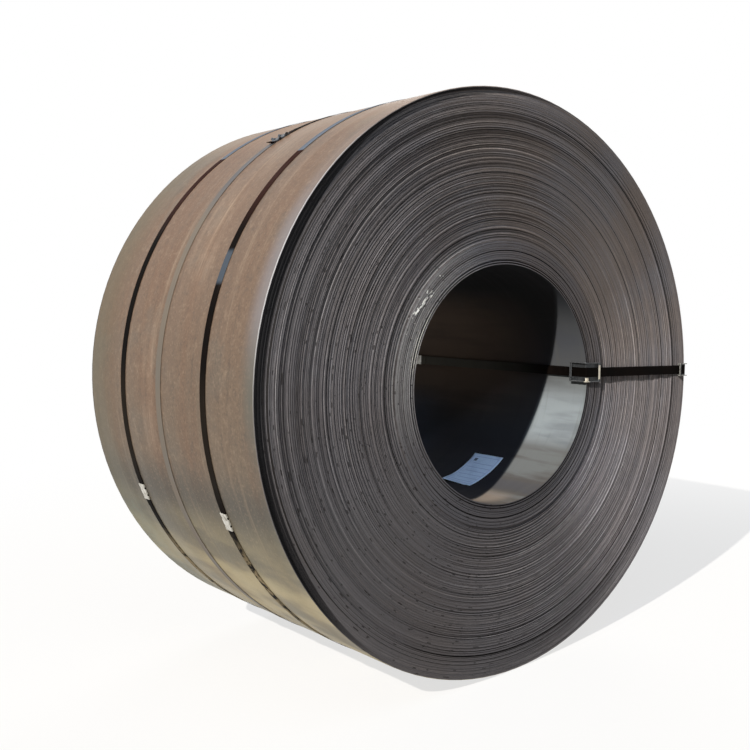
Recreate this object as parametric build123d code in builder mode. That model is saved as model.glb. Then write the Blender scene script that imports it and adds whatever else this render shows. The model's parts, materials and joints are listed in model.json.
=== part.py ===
"""Strapped coil of hot-rolled steel strip, lying with its axis level along Y.

Millimetres, +Z up. The origin is on the floor, under the middle of the coil.
The front end of the coil looks along -Y. Angles round the coil are counted from +X towards +Z.
"""

import os
from math import acos, atan2, cos, degrees, hypot, radians, sin, sqrt

from build123d import *

os.makedirs("parts", exist_ok=True)

# Wound strip
coil_diameter = 1860.0
bore_diameter = 762.0
strip_width = 1050.0

# Bands of turns on the ends. The ones beside the bore and the rim are flush, and those
# between them, from the bore outward, are set back at the front and stand out as far at
# the back, because every turn has the same strip width.
band_setback = 7.0
band_end_shares = (0.24, 0.5, 0.74, 1.0)
band_setback_shares = (1.0, 0.6, 0.9, 0.5)

# Loose gaps between turns, open at both ends
inner_gap_place_share = 0.57
inner_gap_width = 3.0
outer_gap_width = 6.0
gap_depth = 12.0

# Flat steel strap
strap_width = 32.0
strap_thickness = 0.9
strap_clearance = 0.8
strap_lap = 112.0
front_strap_place = -254.0
middle_strap_place = 26.0
back_strap_place = 276.0
front_seal_angle = -160.0
middle_seal_angle = 118.5
back_seal_angle = -160.7

# Crimped seal that closes a strap
seal_length = 57.0
seal_thickness = 1.0
seal_side_clearance = 0.5
seal_lip = 11.0
crimp_width = 9.0
crimp_depth = 4.0
crimp_spacing = 26.0

# Strap through the eye of the coil, and the sheet-metal protectors under its bends
eye_strap_angle = -4.75
eye_strap_offset = 31.0
eye_seal_margin = 161.0
inner_protector_leg = 64.0
inner_protector_width = 66.0
outer_protector_leg = 40.0
outer_protector_width = 46.0
protector_plate = 3.0
protector_bend_radius = 5.0
protector_rail = 2.5
protector_margin = 12.0
keeper_width = 8.0
keeper_thickness = 2.5
keeper_clearance = 5.0
far_bend_radius = 30.0

# Paper label stuck to the bore
label_length = 146.0
label_height = 184.0
label_thickness = 0.4
label_clearance = 0.9
label_place = -192.0
label_angle = -67.0

# Sizes that follow from the ones above
coil_radius = coil_diameter / 2
bore_radius = bore_diameter / 2
end_plane = strip_width / 2
eye_seal_place = end_plane - eye_seal_margin
flush_band = inner_protector_leg + protector_margin
band_start = bore_radius + flush_band
band_end = coil_radius - flush_band
strap_seat = coil_radius + strap_clearance
axis_height = strap_seat + strap_thickness
coil_centre = (0, 0, axis_height)
coil_axis = Axis(coil_centre, (0, 1, 0))


def finish(piece, name):
    """Names a finished piece and writes it."""
    piece.part.label = name
    export_step(piece.part, f"parts/{name}.step")


def end_profile(plane):
    """Steps of one end of the coil, from the bore to the rim, as (radius, place along the axis)."""
    steps = [(bore_radius, plane), (band_start, plane)]
    start = band_start
    for end_share, setback_share in zip(band_end_shares, band_setback_shares):
        end = band_start + end_share * (band_end - band_start)
        place = plane + setback_share * band_setback
        steps += [(start, place), (end, place)]
        start = end
    return steps + [(band_end, plane), (coil_radius, plane)]


# The coil is one turned solid with its bore
with BuildPart() as coil:
    with BuildSketch(Plane.XY.offset(axis_height)):
        with BuildLine():
            Polyline(*end_profile(-end_plane), *reversed(end_profile(end_plane)), close=True)
        make_face()
        for gap_radius, gap_width in (
            (bore_radius + inner_gap_place_share * flush_band, inner_gap_width),
            (band_end + outer_gap_width / 2, outer_gap_width),
        ):
            with Locations((gap_radius, -end_plane), (gap_radius, end_plane)):
                Rectangle(gap_width, 2 * gap_depth, mode=Mode.SUBTRACT)
    revolve(axis=coil_axis)
finish(coil, "coil")


def seat_plane(place, angle):
    """Plane across the coil with its local Y pointing out at an angle."""
    return Plane(
        origin=(0, place, axis_height),
        x_dir=(sin(radians(angle)), 0, -cos(radians(angle))),
        z_dir=(0, -1, 0),
    )


def ring_line(height):
    """Closed line of a strap round the coil, flat where its ends lap in the seal."""
    radius = strap_seat + height
    flat = radius + seal_thickness
    half_lap = strap_lap / 2
    reach = hypot(half_lap, flat)
    turn = atan2(half_lap, flat) + acos(radius / reach)
    side = radius * sin(turn)
    top = radius * cos(turn)
    with BuildLine() as ring:
        ThreePointArc((side, top), (0, -radius), (-side, top))
        Polyline((-side, top), (-half_lap, flat), (half_lap, flat), (side, top))
    return ring.edges()


def strap_ring(name, place, angle):
    """Strap round the coil, with its free end lapped over itself."""
    with BuildPart() as strap:
        with BuildSketch(seat_plane(place, angle)):
            make_face(ring_line(strap_thickness))
            make_face(ring_line(0), mode=Mode.SUBTRACT)
            with Locations((0, strap_seat + seal_thickness + strap_thickness)):
                Rectangle(strap_lap, strap_thickness, align=(Align.CENTER, Align.MIN))
        extrude(amount=strap_width / 2, both=True)
    finish(strap, name)


def seal(name, section_plane):
    """Sleeve crimped round two layers of strap, open underneath between its lips."""
    sleeve_width = strap_width + 2 * (seal_side_clearance + seal_thickness)
    channel_width = strap_width + 2 * seal_side_clearance
    channel_height = 2 * strap_thickness
    sleeve_height = channel_height + 2 * seal_thickness
    with BuildPart() as sleeve:
        with BuildSketch(section_plane):
            Rectangle(sleeve_width, sleeve_height, align=(Align.CENTER, Align.MIN))
            with Locations((0, seal_thickness)):
                Rectangle(
                    channel_width, channel_height,
                    align=(Align.CENTER, Align.MIN), mode=Mode.SUBTRACT,
                )
            Rectangle(
                sleeve_width - 2 * seal_lip, seal_thickness,
                align=(Align.CENTER, Align.MIN), mode=Mode.SUBTRACT,
            )
        extrude(amount=seal_length / 2, both=True)
        # Crimp nicks bite into both long edges
        top = Plane(
            origin=section_plane.origin, x_dir=section_plane.x_dir, z_dir=section_plane.y_dir
        )
        with BuildSketch(top):
            for side in (-1, 1):
                for place in (-crimp_spacing / 2, crimp_spacing / 2):
                    edge = side * sleeve_width / 2
                    with BuildLine():
                        Polyline(
                            (edge, place - crimp_width / 2),
                            (edge - side * crimp_depth, place),
                            (edge, place + crimp_width / 2),
                            close=True,
                        )
                    make_face()
        extrude(amount=sleeve_height, mode=Mode.SUBTRACT)
    finish(sleeve, name)


# Three straps round the coil, each closed by its seal
for end_name, strap_place, seal_angle in (
    ("front", front_strap_place, front_seal_angle),
    ("middle", middle_strap_place, middle_seal_angle),
    ("back", back_strap_place, back_seal_angle),
):
    strap_ring(f"strap_{end_name}", strap_place, seal_angle)
    outward = Vector(cos(radians(seal_angle)), 0, sin(radians(seal_angle)))
    seat = Vector(0, strap_place, axis_height) + outward * strap_seat
    seal(
        f"seal_{end_name}",
        Plane(origin=seat, x_dir=(0, 1, 0), z_dir=Vector(0, 1, 0).cross(outward)),
    )

# The eye strap lies in a plane along the coil's axis that passes above it and falls towards the rim
eye_outward = Vector(cos(radians(eye_strap_angle)), 0, sin(radians(eye_strap_angle)))
eye_across = eye_outward.cross(Vector(0, 1, 0))
eye_plane = Plane(
    origin=Vector(coil_centre) + eye_across * eye_strap_offset, x_dir=eye_outward, z_dir=eye_across
)
bore_seat = sqrt(bore_radius**2 - (eye_strap_offset + inner_protector_width / 2) ** 2)


def eye_line(height):
    """Closed line of the eye strap, a height above the plates that it bends over."""
    inside = bore_seat - protector_plate - height
    outside = coil_radius + protector_plate + height
    face = end_plane + protector_plate + height
    proud = end_plane + band_setback + height
    bend = protector_bend_radius + height
    far_bend = far_bend_radius + height
    with BuildLine() as loop:
        FilletPolyline(
            (inside, -face), (outside, -face), (outside, face),
            (band_end + protector_plate, proud), (band_start - protector_plate, proud), (inside, face),
            radius=[bend, bend, bend, far_bend, far_bend, bend],
            close=True,
        )
    return loop.edges()


with BuildPart() as eye_strap:
    with BuildSketch(eye_plane):
        make_face(eye_line(strap_thickness))
        make_face(eye_line(0), mode=Mode.SUBTRACT)
        with Locations((bore_seat - protector_plate - strap_thickness, eye_seal_place)):
            Rectangle(strap_thickness, strap_lap, align=(Align.MAX, Align.CENTER))
    extrude(amount=strap_width / 2, both=True)
finish(eye_strap, "eye_strap")

# Its seal is in the bore, towards the back
eye_seal_seat = Vector(bore_seat - protector_plate + seal_thickness, eye_seal_place, 0)
seal(
    "seal_eye",
    Plane(
        origin=eye_plane.from_local_coords(eye_seal_seat),
        x_dir=eye_plane.z_dir,
        z_dir=-eye_plane.y_dir,
    ),
)


def corner_line(leg, thickness, bend_radius):
    """Outline of a bent plate on a corner, with its legs along local X and Y."""
    with BuildLine() as outline:
        corner = FilletPolyline(
            (leg, -thickness), (-thickness, -thickness), (-thickness, leg),
            radius=bend_radius,
        )
        Polyline(corner @ 1, (0, leg), (0, 0), (leg, 0), corner @ 0)
    return outline.edges()


def corner_protector(name, corner_plane, leg, width):
    """Bent plate with side rails and a keeper bar over the strap at each end."""
    keeper_height = protector_plate + keeper_clearance
    rail_height = keeper_height + keeper_thickness
    rail_bend_radius = protector_bend_radius + rail_height - protector_plate
    rail_start = width / 2 - protector_rail
    keeper_place = leg - keeper_width
    with BuildPart() as protector:
        with BuildSketch(corner_plane):
            make_face(corner_line(leg, protector_plate, protector_bend_radius))
        extrude(amount=width / 2, both=True)
        for rail_place in (rail_start, -rail_start - protector_rail):
            with BuildSketch(corner_plane.offset(rail_place)):
                make_face(corner_line(leg, rail_height, rail_bend_radius))
            extrude(amount=protector_rail)
        with BuildSketch(corner_plane):
            with Locations((keeper_place, -rail_height)):
                Rectangle(keeper_width, keeper_thickness, align=Align.MIN)
            with Locations((-rail_height, keeper_place)):
                Rectangle(keeper_thickness, keeper_width, align=Align.MIN)
        extrude(amount=width / 2, both=True)
    finish(protector, name)


# A protector sits on each of the four edges that the eye strap bends over
for end_name, end_side in (("front", -1), ("back", 1)):
    for edge_name, edge_side, edge_radius, leg, width in (
        ("inner", 1, bore_seat, inner_protector_leg, inner_protector_width),
        ("outer", -1, coil_radius, outer_protector_leg, outer_protector_width),
    ):
        along_face = eye_plane.x_dir * edge_side
        along_coil = eye_plane.y_dir * -end_side
        corner_protector(
            f"protector_{end_name}_{edge_name}",
            Plane(
                origin=eye_plane.from_local_coords(Vector(edge_radius, end_side * end_plane, 0)),
                x_dir=along_face,
                z_dir=along_face.cross(along_coil),
            ),
            leg,
            width,
        )

# The label follows the bore
with BuildPart() as label:
    label_turn = degrees(label_height / bore_radius)
    label_start = label_angle - label_turn / 2
    label_outward = Vector(cos(radians(label_start)), 0, sin(radians(label_start)))
    label_plane = Plane(
        origin=coil_centre, x_dir=label_outward, z_dir=label_outward.cross(Vector(0, 1, 0))
    )
    with BuildSketch(label_plane):
        with Locations((bore_radius - label_clearance, label_place)):
            Rectangle(label_thickness, label_length, align=(Align.MAX, Align.CENTER))
    revolve(axis=Axis(coil_centre, (0, -1, 0)), revolution_arc=label_turn)
finish(label, "label")
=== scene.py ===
# %% [markdown]
# A strapped coil of hot-rolled steel strip, lying on its side.
# The CAD model is loaded as a fixed frame: its solids say where everything is, and this
# lesson dresses them with wound turns, real strap laps, sheet-metal relief and finishes.

# %% Load the frame
import json
from math import atan2, cos, degrees, hypot, pi, radians, sin, tan

import bpy
import numpy as np
from mathutils import Matrix, Vector


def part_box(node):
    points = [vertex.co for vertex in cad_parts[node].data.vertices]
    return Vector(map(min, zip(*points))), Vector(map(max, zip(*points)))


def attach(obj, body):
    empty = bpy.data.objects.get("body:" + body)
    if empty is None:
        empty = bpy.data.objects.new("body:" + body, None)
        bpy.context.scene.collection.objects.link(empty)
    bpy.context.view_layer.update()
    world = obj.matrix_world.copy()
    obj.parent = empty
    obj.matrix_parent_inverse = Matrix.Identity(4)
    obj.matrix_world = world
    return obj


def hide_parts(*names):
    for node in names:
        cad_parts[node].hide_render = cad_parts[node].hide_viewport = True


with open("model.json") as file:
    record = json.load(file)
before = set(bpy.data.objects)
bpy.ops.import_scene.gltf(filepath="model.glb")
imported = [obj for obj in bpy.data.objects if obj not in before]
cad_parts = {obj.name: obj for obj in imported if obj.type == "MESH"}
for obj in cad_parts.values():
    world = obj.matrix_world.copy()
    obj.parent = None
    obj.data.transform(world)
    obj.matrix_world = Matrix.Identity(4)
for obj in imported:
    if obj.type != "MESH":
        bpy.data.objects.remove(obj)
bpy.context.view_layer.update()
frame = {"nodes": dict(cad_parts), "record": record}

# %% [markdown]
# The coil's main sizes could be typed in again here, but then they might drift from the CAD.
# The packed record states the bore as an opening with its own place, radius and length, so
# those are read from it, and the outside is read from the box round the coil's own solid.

eye = frame["record"]["mounts"][0]
axis_height = eye["pos_m"][2]
bore_radius = eye["dims"]["r_mm"] / 1000
half_width = eye["dims"]["length_mm"] / 2000
coil_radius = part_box("coil")[1].x
print(f"coil {2 * coil_radius:.3f} m across, bore {2 * bore_radius:.3f} m, axis at {axis_height:.4f} m")

# %% [markdown]
# The camera stands low, to the left of the coil's front end, so that the end and the left of
# the barrel are both in view. It could be aimed with a Track To constraint. Here its own axes
# are written as a matrix, because the view is also rolled a little to one side.

# %% Camera
camera_place = (-2.30355, -2.85808, 1.34822)
view_turn = -0.678
view_rise = 0.0891
view_roll = -0.0433
view_back = Vector((sin(view_turn) * cos(view_rise), -cos(view_turn) * cos(view_rise), sin(view_rise)))
level_right = Vector((cos(view_turn), sin(view_turn), 0))
level_up = view_back.cross(level_right)
view_right = cos(view_roll) * level_right + sin(view_roll) * level_up
view_up = cos(view_roll) * level_up - sin(view_roll) * level_right
view_axes = Matrix((view_right, view_up, view_back)).transposed().to_4x4()

camera_data = bpy.data.cameras.new("camera")
camera_data.sensor_width = 36
camera_data.lens = 49.72
camera_data.shift_x = -0.0346
camera_data.shift_y = -0.0335
camera = bpy.data.objects.new("camera", camera_data)
camera.matrix_world = Matrix.Translation(camera_place) @ view_axes
bpy.context.collection.objects.link(camera)
bpy.context.scene.camera = camera
print("camera at", [round(c, 2) for c in camera.location])

# %% [markdown]
# The finishes are given as picture values from 0 to 255, which are easy to compare by eye. A
# shader works with plain amounts of light, so each value is first taken off the curve that
# pictures are stored on. Blender's other views bend colours once more, and Standard doesn't.

# %% Tones
bpy.context.scene.view_settings.view_transform = "Standard"


def tone(red, green, blue):
    """Linear colour from the 0 to 255 values of a picture."""
    linear = [
        c / 255 / 12.92 if c <= 10 else ((c / 255 + 0.055) / 1.055) ** 2.4 for c in (red, green, blue)
    ]
    return (*linear, 1)


print("middle grey is", round(tone(128, 128, 128)[0], 3))

# %% [markdown]
# A finish is a tree of shader nodes. Wiring nodes one by one is long-winded, so this small
# bench holds one finish and adds a node with a short call. A value that is the same all over
# is written straight on the socket, and only what varies over the surface is linked.

# %% Finish bench
class Finish:
    """One material, with short calls for its nodes."""

    def __init__(self, name, tree=None):
        if tree is None:
            self.material = bpy.data.materials.new(name)
            self.material.use_nodes = True
            tree = self.material.node_tree
        self.tree = tree
        self.shader = tree.nodes.get("Principled BSDF")

    def plug(self, socket, value):
        """Links a node's output to a socket, or sets the socket's own value."""
        if isinstance(value, bpy.types.NodeSocket):
            self.tree.links.new(value, socket)
        else:
            socket.default_value = value

    def node(self, kind, **settings):
        made = self.tree.nodes.new("ShaderNode" + kind)
        for name, value in settings.items():
            setattr(made, name, value)
        return made

    def math(self, operation, *values):
        made = self.node("Math", operation=operation)
        for socket, value in zip(made.inputs, values):
            self.plug(socket, value)
        return made.outputs[0]

    def times(self, first, *others):
        """Product of two or more values."""
        for other in others:
            first = self.math("MULTIPLY", first, other)
        return first

    def vector(self, operation, *values):
        """A vector node. A length or a dot product gives a number, the others a vector."""
        made = self.node("VectorMath", operation=operation)
        for socket, value in zip(made.inputs, values):
            self.plug(socket, value)
        return made.outputs["Value" if operation in ("LENGTH", "DOT_PRODUCT") else "Vector"]

    def scaled(self, vector, scale):
        return self.vector("MULTIPLY", vector, scale)

    def join(self, x, y, z):
        made = self.node("CombineXYZ")
        for socket, value in zip(made.inputs, (x, y, z)):
            self.plug(socket, value)
        return made.outputs[0]

    def noise(self, vector, scale, detail, roughness):
        made = self.node("TexNoise")
        self.plug(made.inputs["Vector"], vector)
        made.inputs["Scale"].default_value = scale
        made.inputs["Detail"].default_value = detail
        made.inputs["Roughness"].default_value = roughness
        return made.outputs["Fac"]

    def step(self, value, start, end, low=0.0, high=1.0):
        """Smooth rise from low to high while the value goes from start to end."""
        made = self.node("MapRange", interpolation_type="SMOOTHSTEP")
        self.plug(made.inputs["Value"], value)
        for name, number in (("From Min", start), ("From Max", end), ("To Min", low), ("To Max", high)):
            self.plug(made.inputs[name], number)
        return made.outputs["Result"]

    def band(self, value, start, end, soft=0.0006):
        """One between two values, with soft edges."""
        rise = self.step(value, start - soft, start + soft)
        return self.times(rise, self.step(value, end + soft, end - soft))

    def blend(self, factor, first, second, mode="MIX"):
        made = self.node("Mix", data_type="RGBA", blend_type=mode)
        self.plug(made.inputs["Factor"], factor)
        self.plug(made.inputs["A"], first)
        self.plug(made.inputs["B"], second)
        return made.outputs["Result"]

    def layers(self, colour, *rows):
        """Lays tones over a colour. Each row has a value, its start and end, the most and the tone."""
        for value, start, end, most, laid in rows:
            colour = self.blend(self.step(value, start, end, 0, most), colour, tone(*laid))
        return colour

    def bump(self, height, distance, strength):
        made = self.node("Bump")
        self.plug(made.inputs["Height"], height)
        made.inputs["Distance"].default_value = distance
        made.inputs["Strength"].default_value = strength
        return made.outputs["Normal"]

    def finish(self, **sockets):
        """Sets or links the shader's own sockets, named with underscores for spaces."""
        for name, value in sockets.items():
            self.plug(self.shader.inputs[name.replace("_", " ")], value)
        return self.material


print("bench calls:", ", ".join(call for call in vars(Finish) if not call.startswith("_")))

# %% [markdown]
# The floor is plain and pale. A curved backdrop would hide the horizon too, but it would light
# the coil from behind. Here the floor is a flat sheet that fades to pure white away from the
# coil where the camera or a reflection sees it, and close to the coil it keeps the shadow. What
# it throws back on the coil is darker, as from a yard floor, so the underside stays dark.

# %% Floor
floor_reach = 40.0
white_from, white_to = 1.2, 4.5
bounced_tone, seen_tone = (0.42, 0.41, 0.39, 1), (0.86, 0.86, 0.86, 1)
bpy.ops.mesh.primitive_grid_add(x_subdivisions=8, y_subdivisions=8, size=2 * floor_reach)
floor = bpy.context.object
floor.name = "floor"


def seen_directly(finish):
    """One for rays from the camera and in reflections, zero for light that bounces about."""
    path = finish.node("LightPath")
    seen = finish.math("MAXIMUM", path.outputs["Is Camera Ray"], path.outputs["Is Glossy Ray"])
    return finish.math("MAXIMUM", seen, path.outputs["Is Transmission Ray"])


def show_mixed(finish, factor, first, second, output_name):
    """Mixes two shader nodes and sends the result to the output node."""
    mixed = finish.node("MixShader")
    for socket, value in zip(mixed.inputs, (factor, first.outputs[0], second.outputs[0])):
        finish.plug(socket, value)
    finish.plug(finish.tree.nodes[output_name].inputs["Surface"], mixed.outputs[0])


floor_paint = Finish("floor_paint")
away = floor_paint.vector("LENGTH", floor_paint.node("TexCoord").outputs["Object"])
whiteness = floor_paint.step(away, white_from, white_to, 0.7, 1.0)
seen = seen_directly(floor_paint)
floor_tone = floor_paint.blend(seen, bounced_tone, seen_tone)
floor_paint.finish(Base_Color=floor_tone, Roughness=0.9, Specular_IOR_Level=0.1)
white = floor_paint.node("Emission")
white.inputs["Strength"].default_value = 1.0
show_mixed(floor_paint, floor_paint.times(whiteness, seen), floor_paint.shader, white, "Material Output")
floor.data.materials.append(floor_paint.material)
print("floor reaches", floor_reach, "m")

# %% [markdown]
# The light is a plain studio set. A sky texture would light the coil well too, but lamps are
# easier to move one at a time: a key from the upper left, just in front of the coil's end,
# which rakes over the turns and reaches into the bore, a broad box overhead, another in front,
# a small spot into the bore and a light behind for the far side. The key is a narrow sun, harder
# than studio light mostly is, because the shadow in the bore has a sharp edge.

# %% Lights
def lamp(kind, name, energy, place, toward_light, **settings):
    """Adds a light that shines from the direction toward_light."""
    data = bpy.data.lights.new(name, kind)
    data.energy = energy
    for setting, value in settings.items():
        setattr(data, setting, value)
    made = bpy.data.objects.new(name, data)
    made.location = place
    made.rotation_euler = Vector(toward_light).to_track_quat("Z", "Y").to_euler()
    bpy.context.collection.objects.link(made)


warm, cool, cold = (1.0, 0.95, 0.88), (0.72, 0.87, 1.0), (0.62, 0.78, 1.0)
key_front = radians(15.9)
key_rise = radians(39)
key_way = (-cos(key_front) * cos(key_rise), -sin(key_front), cos(key_front) * sin(key_rise))
lamp("SUN", "key", 4.7, (0, 0, 0), key_way, angle=radians(0.8), color=warm)
lamp("AREA", "top_box", 12, (-1.6, 0.6, 4.6), (-0.35, 0, 1), size=4)
lamp("AREA", "front_box", 36, (-1.0, -2.5, 4.6), (-1.1, -2.1, 3.7), size=3, color=cool)
spot_place, spot_target = Vector((-0.55, -2.1, 2.6)), Vector((0.15, -0.19, 0.59))
spot_shape = {"spot_size": radians(14), "spot_blend": 1.0, "shadow_soft_size": 0.25}
lamp("SPOT", "bore_spot", 115, spot_place, spot_place - spot_target, color=cold, **spot_shape)
lamp("AREA", "rear", 110, (5.0, 3.6, 3.6), (5.0, 3.6, 2.7), size=4)
print("key from", [round(c, 2) for c in key_way])

# %% [markdown]
# A soft fill from all round lifts the shadows a little. One background could do that and stand
# behind the coil as well, but a fill this weak would look dark, so the camera and reflections
# get a plain white backdrop instead.

# %% Fill and backdrop
world = bpy.data.worlds.new("studio")
bpy.context.scene.world = world
world.use_nodes = True
studio = Finish("studio", world.node_tree)
fill = world.node_tree.nodes["Background"]
fill.inputs["Color"].default_value = (0.86, 0.93, 1.0, 1)
fill.inputs["Strength"].default_value = 0.06
backdrop = studio.node("Background")
backdrop.inputs["Color"].default_value = (1, 1, 1, 1)
show_mixed(studio, seen_directly(studio), fill, backdrop, "World Output")
print("fill strength", round(fill.inputs["Strength"].default_value, 2))

# %% [markdown]
# On the real coil one long strip is wound round and round, and its edges show on both ends as
# hundreds of fine rings. A texture could fake them, but raking light shows every step, so the
# turns are modelled: each ring has its own flat edge and a groove before the next one. No turn
# lies quite flush with its neighbours, and the strip has one width, so what stands back at the
# front stands out at the back.

# %% Unevenness of the turns
turn_count = 156
around = 120
pitch = (coil_radius - bore_radius) / turn_count
angles = np.arange(around) * 2 * pi / around
turn_inner = bore_radius + pitch * np.arange(turn_count)
turn_middle = turn_inner + pitch / 2


def ease(value, start, end):
    """Smooth rise from 0 to 1 between two values, for arrays."""
    share = np.clip((value - start) / (end - start), 0, 1)
    return share * share * (3 - 2 * share)


def alternating(smallest, largest):
    """A value for each turn that goes up and down, mostly one turn at a time."""
    signs = np.where(np.arange(turn_count) % 2, 1.0, -1.0)
    heights = draw.uniform(smallest, largest, turn_count) * signs
    return np.repeat(heights, draw.choice((1, 1, 1, 2), turn_count))[:turn_count]


draw = np.random.default_rng(1860)
fine = alternating(0.0003, 0.0015)
runs = np.repeat(draw.normal(0, 0.0005, turn_count), draw.integers(2, 9, turn_count))[:turn_count]
sway = np.convolve(draw.normal(0, 0.0012, turn_count), np.ones(6) / 6, "same")
phase = np.cumsum(draw.normal(0, 0.35, turn_count))
uneven = (fine + runs)[:, None] + sway[:, None] * np.cos(angles - phase[:, None])
print(f"{turn_count} turns of {1000 * pitch:.2f} mm")

# %% [markdown]
# The turns also lie in bands that the winder left a few millimetres back, with flush turns at
# the bore and the rim. Sculpting the bands would be slow to repeat, so each turn's set-back is
# a row of numbers round the coil, and the bands, the slid rim and the places under the
# sheet-metal corners are all worked out on the whole table at once.

# %% Set-back of each turn
flush = 0.076
body_start = bore_radius + flush
body_end = coil_radius - flush
body_share = np.clip((turn_middle - body_start) / (body_end - body_start), 0, 1)
band_shares = (0, 0.24, 0.26, 0.5, 0.52, 0.74, 0.76, 1)
band_depths = (0.006, 0.006, 0.004, 0.004, 0.0053, 0.0053, 0.0034, 0.0034)
band_back = np.interp(body_share, band_shares, band_depths)
in_body = ((turn_middle > body_start) & (turn_middle < body_end))[:, None]
set_back = np.where(in_body, band_back[:, None] + np.clip(uneven, -0.003, 0.0009), np.abs(uneven) * 0.8)

# The turns next to the outermost one have slid back, most of all on the left
rim_turns = ((turn_middle > coil_radius - 0.045) & (turn_middle < coil_radius - 0.005))[:, None]
slid = 0.0096 * ease(np.cos(angles - radians(152)), 0.05, 0.7)
set_back = np.where(rim_turns, np.clip(set_back * 0.4, 0, 0.0004) + slid, set_back)

# The turns under the sheet-metal corners lie flush there
under_corner = ease(np.abs(np.angle(np.exp(1j * (angles + 0.03)))), 0.14, 0.4)
set_back = np.where(in_body, set_back, set_back * under_corner)
set_back[-1] = 0

# No edge is cut quite square, so each one leans in or out a little
lean = alternating(0.0003, 0.0011)
lean = np.where(in_body[:, 0], lean, np.abs(lean) * 0.7)
lean[-1] = 0
print(f"turns set back {1000 * set_back.max():.1f} mm at most")

# %% [markdown]
# A few turns hang loose. Beside the bore and near the rim whole gaps open between them, and
# elsewhere a groove is only wider and deeper than the rest. Cutting them with booleans would be
# heavy on so many faces, so a loose turn is simply placed further in before the skin is made.

# %% Loose turns
def turns_at(*radii):
    return [int((radius - bore_radius) / pitch) for radius in radii]


gap_turns = turns_at(0.3865, 0.3940, 0.4243)
rim_gap = turns_at(0.8572)[0]
slack_by_bore = turns_at(0.404, 0.4115, 0.4365, 0.4475, 0.466, 0.488, 0.521)
slack_by_rim = turns_at(0.610, 0.667, 0.725, 0.797, 0.8625, 0.8705, 0.882)
slack_turns = slack_by_bore + slack_by_rim
gap_depth = 0.012
groove_share = 0.36 + alternating(0.04, 0.28)
groove_depth = np.full(turn_count, 0.0009)
groove_share[slack_turns] = 0.45
groove_depth[slack_turns] = 0.006
front_place = -half_width + set_back
back_place = half_width + set_back
front_place[gap_turns] = -half_width + gap_depth
back_place[gap_turns] = half_width - gap_depth
rim_open = ease(np.cos(angles - radians(-25)), -0.5, 0.4)
front_place[rim_gap] += (gap_depth - set_back[rim_gap]) * rim_open
back_place[rim_gap] -= (gap_depth + set_back[rim_gap]) * rim_open
print("gaps at", [round(turn_middle[turn], 3) for turn in (*gap_turns, rim_gap)])

# %% [markdown]
# Each turn has its own shade of grey, which drifts a little round the coil, and a gap is
# painted black, as painted shade inside it.
# A random colour in the shader could do this too, but here the shade can be made to differ
# most between neighbours, which is what lets the eye tell the turns apart.

# %% Shade of each turn
drift_size = 0.03


def restless(spread):
    """A value for each turn that differs from its neighbours more than from the rest."""
    raw = draw.normal(0, spread, turn_count)
    return raw - 0.8 * np.convolve(raw, np.ones(5) / 5, "same")


shade = (0.5 + alternating(0.01, 0.06) + restless(0.035))[:, None]
for waves in (2, 5):
    shade = shade + drift_size * np.cos(waves * angles + draw.uniform(0, 2 * pi, (turn_count, 1)))
shade = np.clip(shade, 0.1, 1)
# A gap, and the rim gap where it opens, is painted black: painted shade inside the gap.
shade[gap_turns] = 0
shade[rim_gap] *= 1 - rim_open
print(f"shades from {shade[shade > 0].min():.2f} to {shade.max():.2f}")

# %% [markdown]
# The whole coil is then one closed skin: rings of points from the bore's front edge, out over
# the turns, along the barrel, back in over the turns of the far end and along the bore. Turns
# could be added one by one as tubes, but NumPy lists all the rings in one go, which is far
# quicker. Each ring also notes the finish and the shade of the strip that goes on from it.

# %% Coil rings
no_shade = np.zeros(around)
rings, strip_finish, strip_shade = [], [], []
end_finish, barrel_finish, bore_finish = 0, 1, 2
rim_ease = 0.0016
barrel_rows = 12
bore_rows = 8


def add_ring(radius, along, finish, shades=no_shade):
    """Adds a ring round the axis. Its place along the axis may vary with the angle."""
    along = np.broadcast_to(along, angles.shape)
    rings.append(np.column_stack((radius * np.cos(angles), along, axis_height + radius * np.sin(angles))))
    strip_finish.append(finish)
    strip_shade.append(shades)


for turn in range(turn_count - 1):
    inner = turn_inner[turn]
    open_share = groove_share[turn]
    leaning = front_place[turn] + lean[turn]
    deepest = np.maximum(leaning, front_place[turn + 1]) + groove_depth[turn]
    # Groove walls are a little darker than the edges; the wide groove of a loose turn is painted black, as
    # painted shade in it.
    wall_shade = no_shade if turn in slack_turns else shade[turn] * 0.8
    add_ring(inner, front_place[turn], end_finish, shade[turn])
    add_ring(inner + pitch * (1 - open_share), leaning, end_finish, wall_shade)
    add_ring(inner + pitch * (1 - open_share / 2), deepest, end_finish, wall_shade)
add_ring(turn_inner[-1], front_place[-1], end_finish, shade[-1])
add_ring(coil_radius - rim_ease, front_place[-1], barrel_finish)
barrel_places = np.linspace(-half_width, half_width, barrel_rows + 1)
barrel_places[0] += rim_ease
barrel_places[-1] -= rim_ease
for along in barrel_places:
    add_ring(coil_radius, along, barrel_finish)
add_ring(coil_radius - rim_ease, back_place[-1], end_finish, shade[-1])
add_ring(turn_inner[-1], back_place[-1], end_finish)
for turn in reversed(range(turn_count - 1)):
    add_ring(turn_inner[turn] + pitch, back_place[turn], end_finish, shade[turn])
    add_ring(turn_inner[turn], back_place[turn], end_finish)
strip_finish[-1] = bore_finish
for row in range(1, bore_rows):
    add_ring(bore_radius, half_width - 2 * half_width * row / bore_rows, bore_finish)
print(len(rings), "rings of", around, "points")

# %% [markdown]
# Now the rings are joined into a mesh, each to the next one by a strip of four-sided faces, and
# the last one back to the first. Smooth shading keeps the barrel round, and edges sharper than
# a set angle stay crisp. The shade of each face is stored as an attribute for the finish.

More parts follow.
